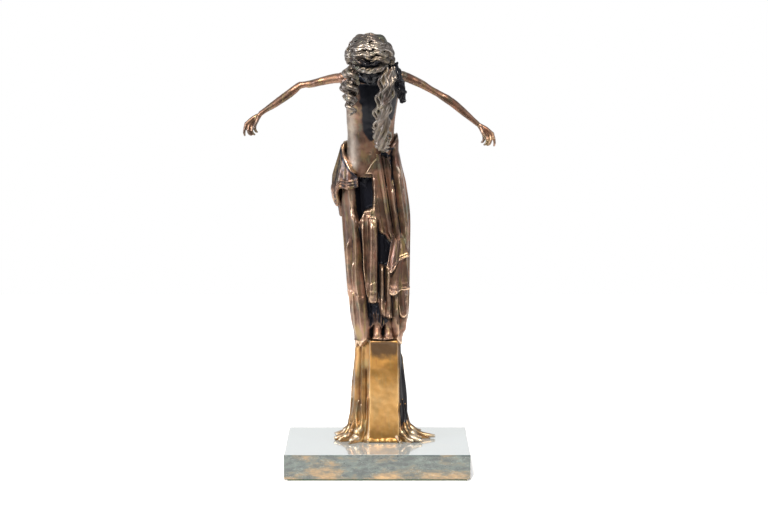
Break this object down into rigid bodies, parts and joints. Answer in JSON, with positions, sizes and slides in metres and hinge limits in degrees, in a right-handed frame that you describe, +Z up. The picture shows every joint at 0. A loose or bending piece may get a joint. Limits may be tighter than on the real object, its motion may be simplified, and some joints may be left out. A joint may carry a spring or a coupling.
{
  "type": "bronze figure on display plinth",
  "caption": "Bronze figure with outstretched arms, standing on a narrow pier bolted to a rectangular polished stone display plinth.",
  "frame": {"origin": "centre of the plinth's underside, on the surface it stands on", "axes": "+Z up, -Y towards the front that the figure faces, +X to a front viewer's right"},
  "size_m": [0.2957, 0.1805, 0.5247],
  "materials": {
    "stone": "polished blue-grey slate with rust-orange veins",
    "baize": "dark green felt glued under the slab",
    "steel": "zinc-plated fixings",
    "golden_bronze": "golden-brown satin patina, rubbed bright on edges",
    "cloth_bronze": "brown patina, golden on ridges and near black in folds",
    "skin_bronze": "smooth brown patina with green-grey patches",
    "hair_bronze": "dark grey-brown patina, rubbed on the strands"
  },
  "bodies": {
    "root": {"plinth_slab": "stone", "baize_sheet": "baize", "fixing_stud_front": "steel", "fixing_stud_back": "steel", "washer_front": "steel", "washer_back": "steel", "nut_front": "steel", "nut_back": "steel", "shoulder_pin_left": "steel", "shoulder_pin_right": "steel", "waist_pin_left": "steel", "waist_pin_right": "steel", "pier_block": "golden_bronze", "pier_bridge": "golden_bronze", "train_casting": "golden_bronze", "train_bridge": "golden_bronze", "skirt_casting": "cloth_bronze", "hip_bunch": "cloth_bronze", "front_fold": "cloth_bronze", "foot_left": "skin_bronze", "foot_right": "skin_bronze", "torso_casting": "skin_bronze", "head_casting": "skin_bronze", "arm_left": "skin_bronze", "arm_right": "skin_bronze", "hair_cap": "hair_bronze", "hair_back": "hair_bronze", "lock_left": "hair_bronze", "lock_right": "hair_bronze", "lock_back": "hair_bronze"}
  },
  "joints": []
}
